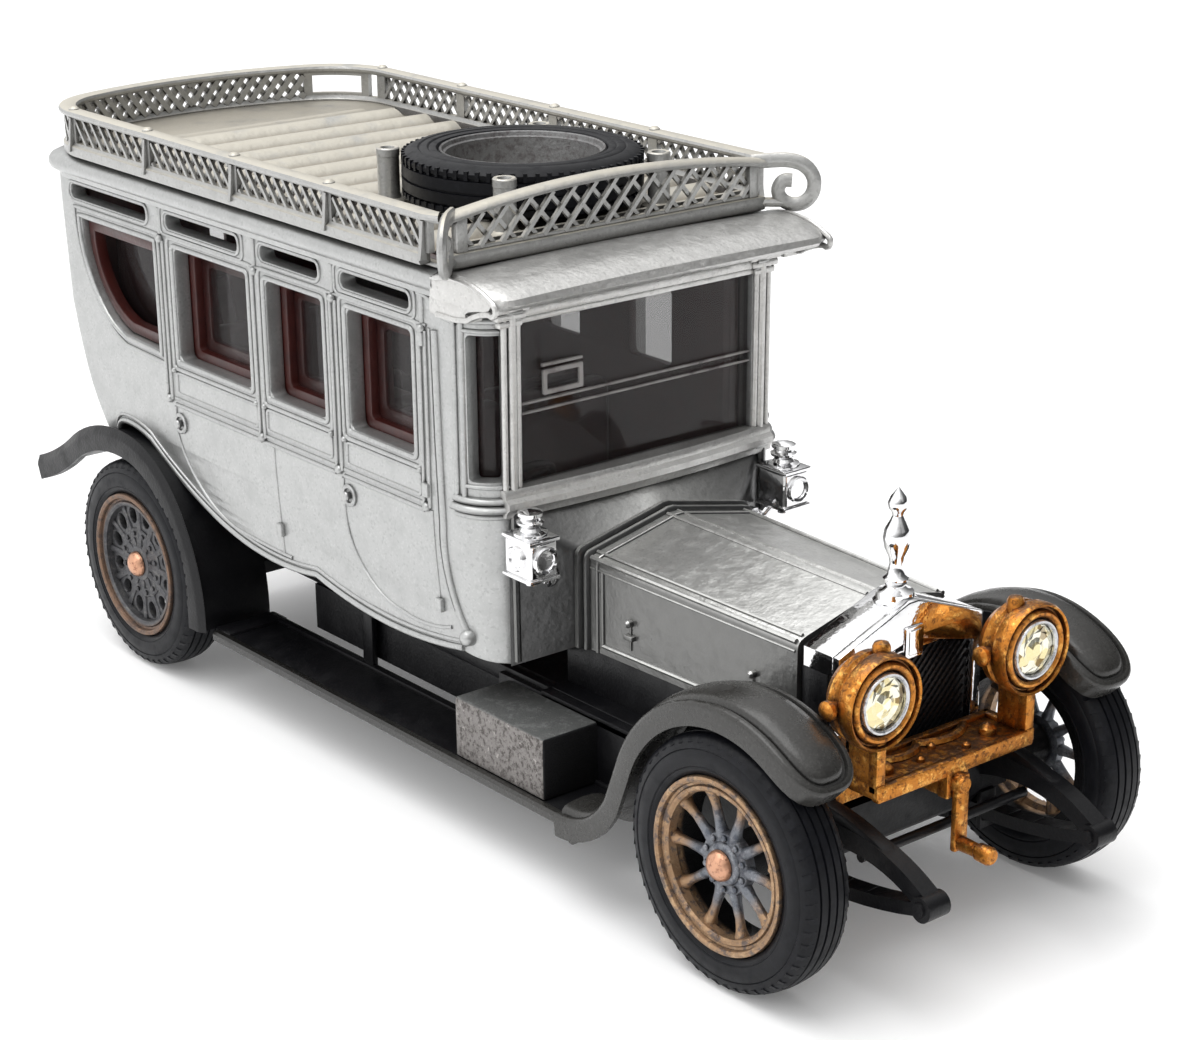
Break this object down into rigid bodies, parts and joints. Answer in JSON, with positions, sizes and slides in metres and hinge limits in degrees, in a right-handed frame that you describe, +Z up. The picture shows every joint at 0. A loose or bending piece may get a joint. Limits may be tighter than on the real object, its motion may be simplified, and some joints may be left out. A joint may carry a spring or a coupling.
{
  "type": "diecast model car",
  "caption": "Diecast collector model of a long vintage limousine: rolling spoked wheels, roof rack with lift-off spare tyre, gilt headlamps, silver coachwork.",
  "frame": {"origin": "on the ground under the middle of the car's length and width", "axes": "the car faces -Y, +X is its own left-hand side, +Z is up"},
  "size_m": [0.0406, 0.118, 0.0546],
  "materials": {
    "silver_paint": "satin metallic",
    "bonnet_paint": "pitted satin metallic",
    "rack_silver": "worn satin",
    "maroon_plastic": "satin",
    "black_plastic": "gloss",
    "clear_glazing": "smoky clear",
    "charcoal_paint": "semi-gloss",
    "black_paint": "satin",
    "chrome": "polished",
    "gilt": "antiqued",
    "jewel": "faceted",
    "ring_silver": "bright",
    "zinc": "mottled bare zinc",
    "rubber_tyre": "matt",
    "rim_bronze": "worn with dark patina",
    "copper_head": "copper-plated ends",
    "screw_steel": "plain"
  },
  "bodies": {
    "car": {"body_shell": "silver_paint", "bonnet_scuttle": "bonnet_paint", "roof_rack": "rack_silver", "interior_tub": "maroon_plastic", "steering_wheel": "black_plastic", "glazing": "clear_glazing", "mudguard_casting": "charcoal_paint", "chassis_frame": "black_paint", "radiator_grille": "black_paint", "radiator_shell": "chrome", "radiator_cap": "chrome", "side_lamp_left": "chrome", "side_lamp_right": "chrome", "headlamp_bracket": "gilt", "starting_handle": "gilt", "headlamp_shell_left": "gilt", "headlamp_shell_right": "gilt", "headlamp_jewel_left": "jewel", "headlamp_jewel_right": "jewel", "headlamp_ring_left": "ring_silver", "headlamp_ring_right": "ring_silver", "toolbox": "zinc", "base_screws": "screw_steel"},
    "front_axle": {"front_axle": "copper_head"},
    "rear_axle": {"rear_axle": "copper_head"},
    "spare": {"spare_tyre": "rubber_tyre", "spare_tyre_ring": "ring_silver"},
    "wheel_front_left": {"wheel_rim_front_left": "rim_bronze", "tyre_front_left": "rubber_tyre"},
    "wheel_front_right": {"wheel_rim_front_right": "rim_bronze", "tyre_front_right": "rubber_tyre"},
    "wheel_rear_left": {"wheel_rim_rear_left": "rim_bronze", "tyre_rear_left": "rubber_tyre"},
    "wheel_rear_right": {"wheel_rim_rear_right": "rim_bronze", "tyre_rear_right": "rubber_tyre"}
  },
  "joints": [
    {"name": "front_axle_spin", "type": "hinge", "parent": "car", "child": "front_axle", "pos_m": [0, -0.0448, 0.01028], "axis": [1, 0, 0], "continuous": true},
    {"name": "wheel_front_left_spin", "type": "hinge", "parent": "front_axle", "child": "wheel_front_left", "pos_m": [0, -0.0448, 0.01028], "axis": [1, 0, 0], "continuous": true},
    {"name": "wheel_front_right_spin", "type": "hinge", "parent": "front_axle", "child": "wheel_front_right", "pos_m": [0, -0.0448, 0.01028], "axis": [1, 0, 0], "continuous": true},
    {"name": "rear_axle_spin", "type": "hinge", "parent": "car", "child": "rear_axle", "pos_m": [0, 0.04005, 0.01028], "axis": [1, 0, 0], "continuous": true},
    {"name": "wheel_rear_left_spin", "type": "hinge", "parent": "rear_axle", "child": "wheel_rear_left", "pos_m": [0, 0.04005, 0.01028], "axis": [1, 0, 0], "continuous": true},
    {"name": "wheel_rear_right_spin", "type": "hinge", "parent": "rear_axle", "child": "wheel_rear_right", "pos_m": [0, 0.04005, 0.01028], "axis": [1, 0, 0], "continuous": true},
    {"name": "spare_lift", "type": "slide", "parent": "car", "child": "spare", "axis": [0, 0, 1], "range_m": [0, 0.012]}
  ]
}
